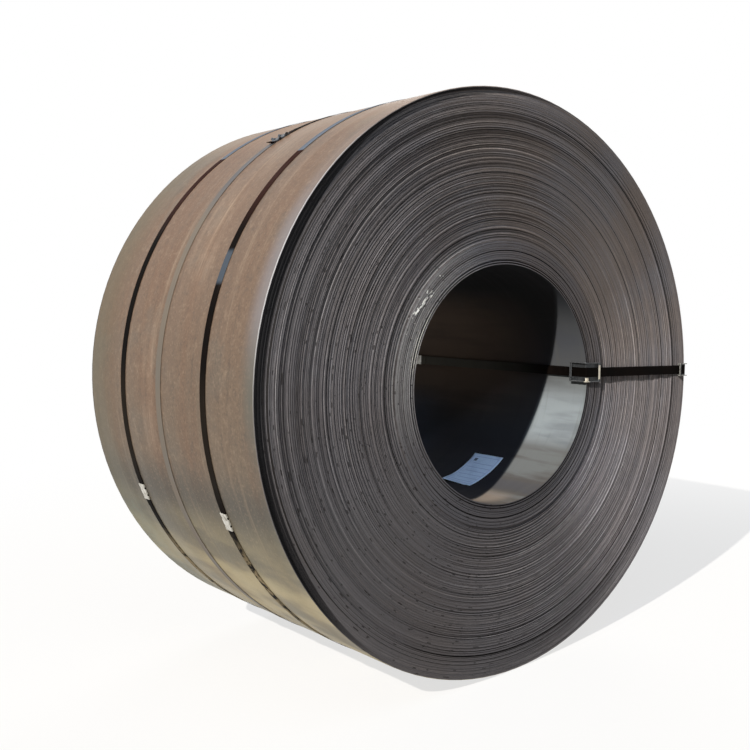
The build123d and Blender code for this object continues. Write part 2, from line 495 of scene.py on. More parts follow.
# %% Coil skin
crisp_angle = radians(35)
near = np.arange(len(rings) * around).reshape(len(rings), around)
far = np.roll(near, -1, axis=0)
faces = np.stack((near, far, np.roll(far, -1, axis=1), np.roll(near, -1, axis=1)), axis=-1).reshape(-1, 4)
coil_mesh = bpy.data.meshes.new("coil_turns")
coil_mesh.from_pydata(np.concatenate(rings).tolist(), [], faces.tolist())
coil_mesh.polygons.foreach_set("material_index", np.repeat(strip_finish, around).astype(np.int32))
coil_mesh.polygons.foreach_set("use_smooth", np.ones(len(faces), dtype=bool))
coil_mesh.set_sharp_from_angle(angle=crisp_angle)
coil_mesh.update()
shade_layer = coil_mesh.attributes.new("turn_shade", "FLOAT", "FACE")
shade_layer.data.foreach_set("value", np.concatenate(strip_shade).astype(np.float32))
coil = bpy.data.objects.new("coil_turns", coil_mesh)
bpy.context.collection.objects.link(coil)
print("coil skin:", 2 * len(coil_mesh.polygons), "triangles")

# %% [markdown]
# Every finish of the coil follows the way it is wound, so it is drawn by the distance from the
# axis, by the angle and by the place along the axis. A UV map could hold these, but object
# coordinates give all three with no unwrapping, and the straps can share them.

# %% Coil places
class CoilFinish(Finish):
    """A finish with sockets for the place, the radius, the place along the axis and the way round."""

    def __init__(self, name):
        super().__init__(name)
        self.place = self.vector("SUBTRACT", self.node("TexCoord").outputs["Object"], (0, 0, axis_height))
        split = self.node("SeparateXYZ")
        self.plug(split.inputs[0], self.place)
        across = self.join(split.outputs["X"], 0.0, split.outputs["Z"])
        self.along = split.outputs["Y"]
        self.radius = self.vector("LENGTH", across)
        self.way = self.vector("NORMALIZE", across)

    def facing(self, angle):
        """Cosine between the way round the coil and an angle in degrees."""
        return self.vector("DOT_PRODUCT", self.way, (cos(radians(angle)), 0, sin(radians(angle))))

    def toward(self, angle, start, end, low=0.0, high=1.0):
        """Smooth rise from low to high as the way round comes nearer to an angle in degrees."""
        return self.step(self.facing(angle), start, end, low, high)


print("coil finishes are drawn round an axis at", round(axis_height, 4), "m")

# %% [markdown]
# The edges of the turns are sheared or mill edges: dull dark grey, each with its own shade,
# nicked here and there. One noise over the whole end would run across the turns, so this one
# is read along each turn by itself, and the stored shade of the turn is added to it. Where the
# key rakes the turns, the contrast between them is raised in the finish as well.

# %% Finish of the ends
ends = CoilFinish("end_turns")
turn_number = ends.math("FLOOR", ends.times(ends.math("SUBTRACT", ends.radius, bore_radius), 1 / pitch))
turn_shade = ends.node("Attribute", attribute_name="turn_shade").outputs["Fac"]
turns_apart = 7.31


def along_turns(length):
    """Place for a noise that runs along each turn by itself. The length is in radians."""
    own_turn = ends.join(0.0, ends.times(turn_number, turns_apart), 0.0)
    return ends.vector("ADD", ends.scaled(ends.way, (1 / length, 0, 1 / length)), own_turn)


scuffed = ends.noise(along_turns(0.05), 1.0, 3, 0.6)
edge_shade = ends.math("ADD", turn_shade, ends.step(scuffed, 0.2, 0.8, -0.04, 0.04))
contrast = ends.step(ends.math("ABSOLUTE", ends.facing(141)), 0.1, 0.85, 0.8, 1.9)
edge_shade = ends.math("MULTIPLY_ADD", ends.math("SUBTRACT", edge_shade, 0.5), contrast, 0.5)
colour = ends.blend(ends.step(edge_shade, 0.0, 0.5), tone(26, 26, 27), tone(102, 101, 103))
colour = ends.blend(ends.step(edge_shade, 0.5, 1.0), colour, tone(188, 187, 187))
print("nodes so far:", len(ends.tree.nodes))

# %% [markdown]
# Over the shade of each turn lie broader changes: a brown bloom of rust at the upper right,
# paler sectors that are a painted sheen where bare edges shine, a blue-grey cast on the turns
# by the bore with a painted highlight at its upper left, and a dark rim that is partly dark
# scale and partly the painted shadow of the outermost turn. A shiny shader could make the pale
# sectors, but it would mirror the white studio everywhere, so they are painted here, with masks
# by angle and radius that stay with the coil.

# %% Broad colour of the ends
plain_tint, rust_tint = (0.97, 0.962, 1.02, 1), (1.02, 0.88, 0.79, 1)
patch = ends.noise(ends.place, 2.6, 4, 0.55)
hue = ends.noise(ends.join(ends.times(turn_number, 1.37), 0.0, 0.0), 1.0, 3, 0.7)
brown = ends.toward(48, 0.0, 0.95, 0.35, 0.95)
rusty = ends.times(ends.step(ends.math("ADD", patch, hue), 0.8, 1.2), brown)
colour = ends.blend(1.0, colour, ends.blend(rusty, plain_tint, rust_tint), "MULTIPLY")
off_bore = ends.step(ends.radius, 0.43, 0.48, 0.3, 1.0)
for angle, start, lift in ((-20, 0.62, 1.8), (152, 0.8, 1.25), (62, 0.6, 1.2)):
    side = ends.times(ends.toward(angle, start, 1.0), off_bore)
    colour = ends.blend(side, colour, ends.blend(1.0, colour, (lift, lift, lift, 1), "MULTIPLY"))
# Blue-grey turns by the bore, with a painted highlight towards the upper left where the key catches them.
by_bore = ends.times(ends.step(ends.radius, 0.485, 0.455, 0, 0.45), ends.step(edge_shade, 0.3, 0.55))
bore_ring_tone_and_highlight = ends.blend(ends.toward(152, 0.55, 1.0), tone(70, 72, 82), tone(162, 163, 164))
colour = ends.blend(by_bore, colour, bore_ring_tone_and_highlight)

# The dark rim is partly dark scale and partly the painted shadow that the proud outermost turn casts over the
# slid turns beside it, most on the left.
rim_width = ends.toward(172, 0.45, 0.95, 0.012, 0.043)
rim_scale_and_shadow = ends.times(
    ends.step(ends.math("ADD", ends.radius, rim_width), coil_radius, coil_radius + 0.003),
    ends.step(ends.radius, coil_radius - 0.0032, coil_radius - 0.0038),
    ends.toward(158, 0.1, 0.6, 0, 0.95),
    ends.step(turn_shade, 0.5, 0.6, 1.0, 0.8),
)
colour = ends.blend(rim_scale_and_shadow, colour, tone(12, 13, 18))
print("nodes so far:", len(ends.tree.nodes))

# %% [markdown]
# Then come the marks of handling: short dark nicks along the turns, most of them on the left,
# a few bright chips beside the bore where something hard has struck the edges, and a line of
# them where it slid. Each mark is a noise cut off sharply and kept to its own area, which is
# quicker to move about than a mark modelled in the mesh.

# %% Nicks and chips of the ends
nick_area = ends.toward(195, -0.5, 0.9, 0.0, 0.8)
nicks = ends.times(ends.step(ends.noise(along_turns(0.04), 1.0, 1, 0.5), 0.67, 0.72), nick_area)
colour = ends.blend(nicks, colour, tone(22, 20, 21))
chips = ends.step(ends.noise(ends.scaled(ends.place, (66, 0, 66)), 1.0, 1, 0.5), 0.68, 0.71)
chip_ring = ends.times(ends.step(ends.radius, 0.415, 0.425), ends.step(ends.radius, 0.465, 0.455))
chip_area = ends.times(chip_ring, ends.toward(141, 0.945, 0.98))
colour = ends.blend(ends.times(chips, chip_area), colour, tone(236, 236, 232))

strike_start = Vector((-0.298, 0, 0.309))
strike_way = Vector((-0.776, 0, -0.631))
strike_normal = Vector((0.631, 0, -0.776))


def from_strike(direction):
    """Distance from the start of the struck line, along a direction."""
    distance = ends.vector("DOT_PRODUCT", ends.place, direction)
    return ends.math("SUBTRACT", distance, strike_start.dot(direction))


strike_along, strike_across = from_strike(strike_way), from_strike(strike_normal)
broken = ends.join(ends.times(strike_along, 40.0), 0.0, ends.times(strike_across, 120.0))
strike = ends.times(
    ends.step(ends.noise(broken, 1.0, 1, 0.5), 0.5, 0.54),
    ends.band(strike_along, -0.006, 0.106, 0.002),
    ends.band(strike_across, -0.003, 0.008, 0.001),
    ends.step(ends.along, 0.0, -0.1),
)
colour = ends.blend(strike, colour, tone(255, 255, 252))
print("nodes so far:", len(ends.tree.nodes))

# %% [markdown]
# Last, the innermost turns carry a painted highlight at the upper left of the bore, where the key
# catches their edges, and a fine grain lies over everything. The same grain drives the bump, so
# the colour and the relief agree.

# %% Grain of the ends
# Painted highlight on the innermost turns at the upper left, towards the key.
inner_edge_glint = ends.times(ends.step(ends.radius, 0.411, 0.4), ends.toward(154, 0.95, 0.995, 0, 0.7))
colour = ends.blend(ends.times(inner_edge_glint, ends.step(edge_shade, 0.4, 0.6)), colour, tone(206, 204, 196))
grain = ends.noise(ends.place, 420, 3, 0.6)
colour = ends.layers(colour, (grain, 0.35, 0.65, 0.25, (84, 80, 78)))
ends.finish(
    Base_Color=colour,
    Metallic=0.0,
    Roughness=ends.step(patch, 0.2, 0.8, 0.6, 0.75),
    Specular_IOR_Level=0.1,
    Normal=ends.bump(grain, 0.0006, 0.5),
)
coil_mesh.materials.append(ends.material)
print("end finish has", len(ends.tree.nodes), "nodes")

# %% [markdown]
# The barrel is the outer face of the last turn: mill scale with a thin bloom of rust, streaked
# round the coil by the rolls. One noise looks like a cloud and not like scale, so noises of
# several sizes and stretches are laid over each other, from broad streaks down to specks.

# %% Finish of the barrel
barrel = CoilFinish("barrel_scale")
streaks = barrel.noise(barrel.scaled(barrel.place, (1.1, 40, 1.1)), 1.0, 6, 0.68)
wide_streaks = barrel.noise(barrel.scaled(barrel.place, (0.8, 7, 0.8)), 1.0, 3, 0.5)
blotch = barrel.noise(barrel.place, 4.2, 6, 0.62)
mottle = barrel.noise(barrel.scaled(barrel.place, (32, 44, 32)), 1.0, 4, 0.7)
speck = barrel.noise(barrel.place, 130, 3, 0.6)
colour = barrel.blend(barrel.toward(105, -0.5, 0.8), tone(98, 91, 77), tone(107, 87, 72))
colour = barrel.layers(
    colour,
    (wide_streaks, 0.4, 0.65, 0.55, (108, 82, 66)),
    (blotch, 0.5, 0.68, 0.4, (94, 90, 82)),
    (streaks, 0.46, 0.28, 0.6, (84, 73, 63)),
    (mottle, 0.48, 0.3, 0.5, (84, 74, 66)),
    (mottle, 0.53, 0.7, 0.3, (150, 131, 112)),
    # Painted shade: the barrel is darker at its lower left, turned from the key.
    (barrel.facing(-157), 0.97, 1.0, 0.85, (68, 66, 60)),
    (speck, 0.45, 0.3, 0.52, (76, 65, 56)),
    (speck, 0.54, 0.7, 0.3, (156, 136, 116)),
)
print("barrel has", len(barrel.tree.nodes), "nodes so far")

# %% [markdown]
# Pale scuffs run round the upper left, as slings and other coils leave them. The strip is
# greyer towards its edges, and that grey band is painted stronger towards the upper left as a
# painted highlight where the key falls; the top is paler, a painted reflection of the sky. The
# scuffs could be drawn one by one. Here they follow the same streaks as the scale, because a
# rub shows first on what stands highest.

# %% Scuffs and edges of the barrel
rubbed_and_highlit = barrel.times(
    barrel.step(barrel.along, -0.24, -0.13),
    barrel.step(barrel.along, 0.03, -0.07),
    barrel.toward(138, 0.86, 0.98),
)
rubbed_low = barrel.times(
    barrel.step(barrel.along, 0.05, 0.085),
    barrel.step(barrel.along, 0.16, 0.12),
    barrel.toward(178, 0.95, 0.995),
)
pale = barrel.times(
    barrel.math("MAXIMUM", rubbed_and_highlit, rubbed_low),
    barrel.step(streaks, 0.4, 0.66, 0.1, 0.42),
    barrel.step(blotch, 0.4, 0.6, 0.2, 1.0),
)
colour = barrel.blend(pale, colour, tone(168, 146, 126))
colour = barrel.layers(colour, (streaks, 0.56, 0.74, 0.3, (166, 146, 124)))

front_edge = barrel.step(barrel.along, -half_width + 0.085, -half_width + 0.004)
# The grey edge band shows most towards the upper left: a painted highlight where the key falls on the strip's
# edge.
edge_grey_and_highlight = barrel.toward(162, 0.86, 0.99, 0.25, 0.75)
edge_tone = barrel.blend(barrel.toward(190, 0.88, 0.97), tone(124, 122, 126), tone(90, 93, 88))
colour = barrel.blend(barrel.times(front_edge, edge_grey_and_highlight), colour, edge_tone)
colour = barrel.layers(
    colour,
    (barrel.along, half_width - 0.24, half_width - 0.02, 0.6, (88, 84, 68)),
    # Painted reflection of the sky: the top of the barrel is paler.
    (barrel.facing(96), 0.88, 0.97, 0.45, (146, 122, 102)),
)
print("barrel has", len(barrel.tree.nodes), "nodes so far")

# %% [markdown]
# Low down the barrel has blue-grey clouds of damp and cream clouds that are a painted
# reflection of the pale ground on the scale, broken by darker clouds, and the strip's very edge
# carries a painted glint. A metal shader would need that ground to reflect, and would mirror
# this white studio instead, so the reflection is painted, and the scale is nearly a plain
# surface with a low gloss.

# %% Damp and grain of the barrel
damp = barrel.times(
    barrel.step(barrel.along, half_width - 0.3, half_width - 0.1),
    barrel.toward(-132, 0.86, 0.97),
    barrel.step(mottle, 0.4, 0.6, 0.3, 0.9),
)
colour = barrel.blend(damp, colour, tone(84, 98, 92))
# Painted reflection of the pale ground: cream clouds low on the barrel, broken by darker clouds, most towards
# the front.
ground_reflection_low = barrel.times(barrel.toward(-105, 0.5, 0.86), barrel.step(barrel.along, 0.35, -0.15, 0.6, 1.0))
cloud = barrel.noise(barrel.scaled(barrel.place, (7, 2.4, 7)), 1.0, 4, 0.5)
painted_ground_reflection = barrel.times(ground_reflection_low, barrel.step(cloud, 0.62, 0.38, 0.3, 0.8))
colour = barrel.blend(painted_ground_reflection, colour, tone(206, 191, 148))
dark_cloud = barrel.times(ground_reflection_low, barrel.step(cloud, 0.5, 0.68, 0, 0.45))
colour = barrel.blend(dark_cloud, colour, tone(104, 102, 88))
# Painted glint along the strip's very edge at the front, strongest towards the upper left.
rim_glint = barrel.times(
    barrel.toward(150, 0.86, 0.97, 0.1, 0.5),
    barrel.step(barrel.along, -half_width + 0.003, -half_width + 0.001),
)
colour = barrel.blend(rim_glint, colour, tone(200, 202, 206))
grain = barrel.noise(barrel.place, 260, 4, 0.65)
colour = barrel.layers(colour, (grain, 0.5, 0.75, 0.25, (80, 70, 62)))
barrel.finish(
    Base_Color=colour,
    Metallic=0.1,
    Roughness=barrel.step(wide_streaks, 0.25, 0.75, 0.4, 0.55),
    Specular_IOR_Level=0.22,
    Normal=barrel.bump(barrel.math("ADD", grain, streaks), 0.0006, 0.45),
)
coil_mesh.materials.append(barrel.material)
print("barrel finish has", len(barrel.tree.nodes), "nodes")

# %% [markdown]
# The bore is the inner face of the first turn. It is smoother and greyer than the barrel,
# with a painted highlight where the key falls on it, painted shade at the upper right, and
# dust at the bottom. It could share the barrel's finish, but it has hardly any rust, so it gets
# fewer and calmer noises of its own.

# %% Finish of the bore
bore = CoilFinish("bore_scale")
streaks = bore.noise(bore.scaled(bore.place, (2.2, 30, 2.2)), 1.0, 5, 0.6)
blotch = bore.noise(bore.scaled(bore.place, (11, 1.6, 11)), 1.0, 4, 0.55)
colour = bore.blend(bore.toward(-90, -0.3, 0.6), tone(76, 78, 81), tone(80, 77, 75))
colour = bore.layers(
    colour,
    # Painted highlight where the key falls on the bore near its front.
    (bore.facing(-25), 0.93, 1.0, 0.9, (138, 146, 150)),
    (blotch, 0.5, 0.66, 0.3, (132, 140, 142)),
    (blotch, 0.5, 0.34, 0.4, (70, 72, 80)),
    # Painted shade: darker at the upper right, past the top end of the key's lit crescent.
    (bore.facing(60), 0.8, 1.0, 0.7, (44, 46, 50)),
    (streaks, 0.5, 0.3, 0.3, (84, 84, 82)),
)
dust = bore.times(bore.toward(-94, 0.955, 1.0), bore.step(bore.along, -0.5, -0.44, 0.2, 1.0), 0.5)
colour = bore.blend(dust, colour, tone(166, 149, 133))
print("bore has", len(bore.tree.nodes), "nodes so far")

# %% [markdown]
# Beyond the edge of the key's shadow the bore is very dark, with a painted brown reflection on
# the right and a painted blue reflection below. The lamps alone could make it dark, but the fill
# that the rest needs leaves it too light. So the finish is darkened as well, a painted shadow
# along the same slanting edge, which is worked out from the key's own angle. Under another light
# that dark would stay.

# %% Deep part of the bore
lit_depth = bore.times(bore.facing(-39), 2 * bore_radius * tan(key_front))
front_depth = bore.math("ADD", bore.along, half_width)
deep = bore.math("SUBTRACT", front_depth, bore.math("MAXIMUM", lit_depth, 0.0))
dark = bore.blend(bore.toward(-60, -0.1, 0.6), tone(28, 27, 28), tone(42, 41, 46))
# Painted reflections deep in the bore: brown on the right and blue below.
brown_reflection = bore.times(bore.toward(7, 0.7, 1.0), bore.band(bore.along, -0.15, 0.42, 0.25))
dark = bore.blend(brown_reflection, dark, tone(114, 97, 85))
blue_reflection = bore.times(bore.toward(-45, 0.85, 1.0), bore.band(bore.along, 0.2, 0.42, 0.16))
dark = bore.blend(blue_reflection, dark, tone(76, 84, 102))
dark = bore.layers(dark, (blotch, 0.45, 0.7, 0.4, (40, 38, 42)))
colour = bore.blend(bore.step(deep, -0.01, 0.02, 0, 0.93), colour, dark)
bore.finish(
    Base_Color=colour,
    Metallic=0.0,
    Roughness=bore.step(streaks, 0.2, 0.8, 0.6, 0.75),
    Specular_IOR_Level=0.05,
    Normal=bore.bump(streaks, 0.0006, 0.4),
)
coil_mesh.materials.append(bore.material)
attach(coil, "root")
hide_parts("coil")
print("coil finishes:", [m.name for m in coil_mesh.materials])

# %% [markdown]
# A strap is flat steel with slightly eased edges. A curve with a bevel object could make it, but
# a curve twists where it likes, so the section is swept by hand: at each point of a line, the
# outward and sideways directions say how the section lies.

# %% Strap section
strap_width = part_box("strap_front")[1].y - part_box("strap_front")[0].y
strap_thickness = 0.0009
strap_rise = 0.0007
strap_gap = 0.0001
strap_edge = 0.0004
strap_lap = 0.112


def sweep(name, middles, outs, sides):
    """Flat strip along a line of points, with its outward and sideways directions at each."""
    half, top = strap_width / 2, strap_thickness / 2
    flat = half - strap_edge
    section = [(-half, 0), (-flat, top), (flat, top), (half, 0), (flat, -top), (-flat, -top)]
    rings = [
        np.array([middle + side * s + out * t for s, t in section])
        for middle, out, side in zip(middles, outs, sides)
    ]
    width = len(section)
    last = (len(rings) - 1) * width
    faces = []
    for start in range(0, last, width):
        for j in range(width):
            a, b = start + j, start + (j + 1) % width
            faces.append((a, b, b + width, a + width))
    faces += [tuple(range(width))[::-1], tuple(range(last, last + width))]
    mesh = bpy.data.meshes.new(name)
    mesh.from_pydata(np.concatenate(rings).tolist(), [], faces)
    mesh.polygons.foreach_set("use_smooth", np.ones(len(mesh.polygons), dtype=bool))
    mesh.set_sharp_from_angle(angle=radians(30))
    piece = bpy.data.objects.new(name, mesh)
    bpy.context.collection.objects.link(piece)
    return piece


print(f"strap {1000 * strap_width:.1f} mm wide")

# %% [markdown]
# Each strap round the coil is one length of steel whose two ends lie over each other in the
# seal. A plain ring would be simpler, but it has no ends. So the line here goes round a little
# more than once, climbs over its own start, and wanders a little, as a strap pulled tight does.
# The free end of the middle strap is also curled up.

# %% Straps round the coil
middle_seal_angle = 118.5
climb_from, climb_to = 2 * pi - 0.07, 2 * pi - 0.02
tail_length = 0.018


def ring_strap(name, seal_angle, seed, lap=strap_lap, curl=0.0):
    """Strap round the coil from its lower end in the seal to its upper end over it, curled up."""
    low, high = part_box(name)
    place = (low.y + high.y) / 2
    lap_turn = lap / coil_radius
    steps = 640
    share = np.linspace(0, 2 * pi + lap_turn, steps)
    turns = radians(seal_angle) - lap_turn / 2 + share
    climb = ease(share, climb_from, climb_to)
    rise = strap_rise + strap_thickness / 2 + (strap_thickness + strap_gap) * climb
    tail = np.clip(1 - (share[-1] - share) * coil_radius / tail_length, 0, 1)
    rise += curl * tail * tail
    wander = np.random.default_rng(seed)
    drift = 0
    for k in (2, 3, 5, 8):
        drift = drift + wander.uniform(0.0004, 0.0012) / k * np.sin(k * turns + wander.uniform(0, 2 * pi))
    outs = np.column_stack((np.cos(turns), np.zeros(steps), np.sin(turns)))
    middles = outs * (coil_radius + rise)[:, None] + np.array((0, place, axis_height))
    middles[:, 1] += drift
    sides = np.tile((0.0, 1.0, 0.0), (steps, 1))
    piece = sweep(name + "_band", middles, outs, sides)
    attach(piece, "root")
    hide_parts(name)
    return piece


ring_straps = {
    "strap_front": ring_strap("strap_front", -160.0, 11),
    "strap_middle": ring_strap("strap_middle", middle_seal_angle, 12, lap=0.092, curl=0.01),
    "strap_back": ring_strap("strap_back", -160.7, 13),
}
print("straps:", {name: len(piece.data.polygons) for name, piece in ring_straps.items()})

# %% [markdown]
# Two of the straps and the one through the eye are black, brown in places, and blue-grey on top,
# which is a painted reflection of the sky on a waxed strap. A glossy shader would mirror the
# white studio and turn grey all over, so the black is nearly matt and the reflection is painted.
# Low down on the two black straps round the coil, tan patches are a painted reflection of the
# ground. Where a stretch begins and ends along a strap is given by its angles round the coil.

# %% Black strap finish
def black_strap_finish(name, sky_reflection_angles=(), ground_reflection_angle=None, greyer_in_bore=False):
    """Black strap, with stretches of painted sky reflection, each with its two angles in degrees and its
    tone.
    """
    black = CoilFinish(name)
    scuff = black.noise(black.scaled(black.place, (3, 40, 3)), 1.0, 5, 0.65)
    wear = black.noise(black.place, 9, 4, 0.6)
    colour = black.blend(black.step(wear, 0.4, 0.66), tone(8, 6, 5), tone(17, 12, 10))
    colour = black.layers(
        colour,
        (black.facing(130), cos(radians(17)), cos(radians(5)), 0.9, (46, 26, 22)),
        (black.facing(185), cos(radians(14)), cos(radians(5)), 0.8, (30, 25, 20)),
        (scuff, 0.62, 0.75, 0.4, (88, 76, 64)),
    )
    fading = black.toward(50, cos(radians(36)), cos(radians(12)), 1.0, 0.0)
    # Painted reflection of the sky along the top of the strap, fading towards the far side.
    for start, end, blue in sky_reflection_angles:
        reach = cos(radians((end - start) / 2))
        stretch = black.toward((start + end) / 2, reach, reach + 0.0012)
        colour = black.blend(black.times(stretch, fading), colour, blue)
    # Painted reflection of the ground: tan patches round one angle low on the strap.
    if ground_reflection_angle is not None:
        stretch = black.toward(ground_reflection_angle, 0.925, 0.985)
        patches = black.step(black.noise(black.place, 28, 3, 0.6), 0.4, 0.52)
        colour = black.blend(black.times(stretch, patches), colour, tone(138, 124, 98))
    # Inside the bore the strap is lighter grey, more so further in.
    if greyer_in_bore:
        at_bore = black.step(black.radius, bore_radius + 0.01, bore_radius)
        in_bore = black.times(black.step(black.along, -0.35, 0.1), at_bore)
        colour = black.blend(in_bore, colour, black.blend(wear, tone(92, 90, 84), tone(114, 112, 106)))
    return black.finish(
        Base_Color=colour,
        Metallic=0.0,
        Roughness=black.step(wear, 0.3, 0.7, 0.5, 0.65),
        Specular_IOR_Level=0.015,
        Normal=black.bump(scuff, 0.0004, 0.4),
    )


black_strap = black_strap_finish("black_strap", greyer_in_bore=True)
print("black strap finish has", len(black_strap.node_tree.nodes), "nodes")

# %% [markdown]
# The middle strap is bare grey steel, painted black only on its upper stretch and on its free
# end. A mask in the shader would blur where the paint stops, so the faces there are given the
# black finish as a second material.

# %% Strap finishes
def grey_strap_finish():
    grey = CoilFinish("grey_strap")
    scuff = grey.noise(grey.scaled(grey.place, (2, 60, 2)), 1.0, 5, 0.65)
    wear = grey.noise(grey.place, 7, 4, 0.6)
    colour = grey.blend(grey.step(wear, 0.35, 0.7), tone(99, 92, 83), tone(110, 100, 89))
    colour = grey.layers(
        colour,
        (scuff, 0.45, 0.3, 0.5, (92, 88, 84)),
        # Painted reflection of the sky: the bare strap is blue-grey on top, near its seal.
        (grey.facing(124), cos(radians(20)), cos(radians(5)), 0.85, (80, 81, 86)),
    )
    return grey.finish(
        Base_Color=colour,
        Metallic=0.1,
        Roughness=grey.step(wear, 0.3, 0.7, 0.45, 0.6),
        Specular_IOR_Level=0.25,
        Normal=grey.bump(scuff, 0.0004, 0.4),
    )


sky_reflection_tone, dim_sky_reflection_tone = tone(96, 104, 116), tone(70, 78, 88)
front_sky_reflections = ((60, 126.8, sky_reflection_tone), (150, 157.4, dim_sky_reflection_tone))
back_sky_reflections = ((60, 124, sky_reflection_tone),)
strap_finishes = {
    "strap_front": black_strap_finish("black_strap_front", front_sky_reflections, -136),
    "strap_middle": grey_strap_finish(),
    "strap_back": black_strap_finish("black_strap_back", back_sky_reflections, -131),
}
for name, piece in ring_straps.items():
    piece.data.materials.append(strap_finishes[name])

middle_band = ring_straps["strap_middle"].data
middle_band.materials.append(black_strap)
painted_from, painted_to, lifted_by = 97, 117, 0.003
for face in middle_band.polygons:
    face_x, face_z = face.center.x, face.center.z - axis_height
    lifted = hypot(face_x, face_z) > coil_radius + lifted_by
    if lifted or painted_from < degrees(atan2(face_z, face_x)) < painted_to:
        face.material_index = 1
print("strap finishes:", [finish.name for finish in strap_finishes.values()])

# %% [markdown]
# The strap through the eye bends over sheet-metal corners at both ends of the coil. A bevel on
# a wire of sharp corners could round the bends, but each bend has its own radius, so the route
# is a flat line of corners in the plane of the strap, and each corner is replaced by an arc.

# %% Rounded corners
eye_fall = radians(-4.75)
eye_offset = 0.031
eye_out = np.array((cos(eye_fall), 0, sin(eye_fall)))
eye_across = np.array((-sin(eye_fall), 0, cos(eye_fall)))
eye_along = np.array((0.0, 1.0, 0.0))
eye_middle = eye_across * eye_offset + np.array((0, 0, axis_height))
arc_points = 9


def rounded(corners):
    """Points along a line of corners, each with its distance out, place along and bend radius."""
    points = []
    for before, corner, after in zip(corners, corners[1:], corners[2:]):
        here, bend = np.array(corner[:2]), corner[2]
        to_before = np.array(before[:2]) - here
        to_after = np.array(after[:2]) - here
        to_before /= np.linalg.norm(to_before)
        to_after /= np.linalg.norm(to_after)
        half_turn = np.arccos(np.clip(to_before @ to_after, -1, 1)) / 2
        reach = bend / np.tan(half_turn)
        middle = to_before + to_after
        centre = here + middle / np.linalg.norm(middle) * bend / np.sin(half_turn)
        first_spoke, last_spoke = here + to_before * reach - centre, here + to_after * reach - centre
        for share in np.linspace(0, 1, arc_points):
            spoke = first_spoke * (1 - share) + last_spoke * share
            points.append(centre + spoke / np.linalg.norm(spoke) * bend)
    return [np.array(corners[0][:2])] + points + [np.array(corners[-1][:2])]


print("eye strap falls", round(degrees(-eye_fall), 2), "degrees towards the rim")

# %% [markdown]
# At the front the strap comes off the inner corner high, just under the corner's keeper bar, and
# falls to the rim, so it casts a shadow that widens towards the bore. Its ends lap in the seal
# inside the bore. The same strip section is swept along the rounded route.

# %% Eye strap
plate = 0.003
corner_width = 0.066
bore_seat = (bore_radius**2 - (eye_offset + corner_width / 2) ** 2) ** 0.5
half_strap = strap_thickness / 2
inside = bore_seat - plate - half_strap
outside = coil_radius + plate + half_strap
flat_front = -half_width - plate - half_strap
high_front = -half_width - 0.0071
flat_back = half_width + plate + half_strap
proud_back = half_width + 0.007 + half_strap
seal_low, seal_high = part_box("seal_eye")
lap_start = (seal_low.y + seal_high.y) / 2 + strap_lap / 2
lap_in = inside - strap_thickness - strap_gap
route = rounded([
    (inside, lap_start, 0),
    (inside, high_front, 0.008),
    (0.452, high_front, 0.2),
    (0.862, flat_front, 0.2),
    (outside, flat_front, 0.008),
    (outside, flat_back, 0.008),
    (0.857, proud_back, 0.03),
    (0.454, proud_back, 0.03),
    (inside, flat_back, 0.008),
    (inside, lap_start + 0.02, 0.05),
    (lap_in, lap_start, 0.05),
    (lap_in, lap_start - strap_lap, 0),
])
flat = np.array(route)
heading = np.gradient(flat, axis=0)
heading /= np.linalg.norm(heading, axis=1)[:, None]
middles = flat[:, :1] * eye_out + flat[:, 1:] * eye_along + eye_middle
outs = -heading[:, 1:] * eye_out + heading[:, :1] * eye_along
eye_strap = sweep("eye_strap_band", middles, outs, np.tile(eye_across, (len(flat), 1)))
eye_strap.data.materials.append(black_strap)
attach(eye_strap, "root")
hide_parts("eye_strap")
eye_length = float(np.linalg.norm(np.diff(flat, axis=0), axis=1).sum())
print("eye strap:", len(flat), "points,", round(eye_length, 2), "m")

# %% [markdown]
# Seals and corners are galvanised sheet, with the cloudy flowers that zinc grows as it cools. A
# Voronoi texture gives each flower its own grey, and a noise adds grime. The corners have gone
# dull and dark, with their edges rubbed bright, and on the inner front corner two spots carry a
# painted highlight where the key falls on the keeper bar and the corner's bend, so several
# finishes are made with one recipe.

# %% Zinc finishes
flowers_per_metre = 140


def zinc_finish(name, dark, light, grime, metallic, rubbed_and_highlit=()):
    """Zinc sheet, with boxes of painted highlight: places out, across and along the eye strap."""
    zinc = Finish(name)
    place = zinc.node("TexCoord").outputs["Object"]
    flower = zinc.node("TexVoronoi", feature="F1")
    zinc.plug(flower.inputs["Vector"], place)
    flower.inputs["Scale"].default_value = flowers_per_metre
    shade = zinc.node("SeparateColor")
    zinc.plug(shade.inputs[0], flower.outputs["Color"])
    dull = zinc.noise(place, 45, 4, 0.6)
    colour = zinc.blend(shade.outputs[0], tone(*dark), tone(*light))
    colour = zinc.layers(colour, (dull, 0.48, 0.7, 0.75, grime))
    # Each box gets a pale zinc tone as a painted highlight.
    for box in rubbed_and_highlit:
        spot = 1.0
        for way, (start, end) in zip((eye_out, eye_across, eye_along), box):
            distance = zinc.vector("DOT_PRODUCT", place, tuple(way))
            from_middle = zinc.math("SUBTRACT", distance, float(eye_middle @ way))
            spot = zinc.times(zinc.band(from_middle, start, end), spot)
        colour = zinc.blend(spot, colour, tone(214, 206, 188))
    return zinc.finish(
        Base_Color=colour,
        Metallic=metallic,
        Roughness=zinc.step(dull, 0.3, 0.7, 0.36, 0.55),
        Specular_IOR_Level=0.3,
        Normal=zinc.bump(dull, 0.0008, 0.5),
    )


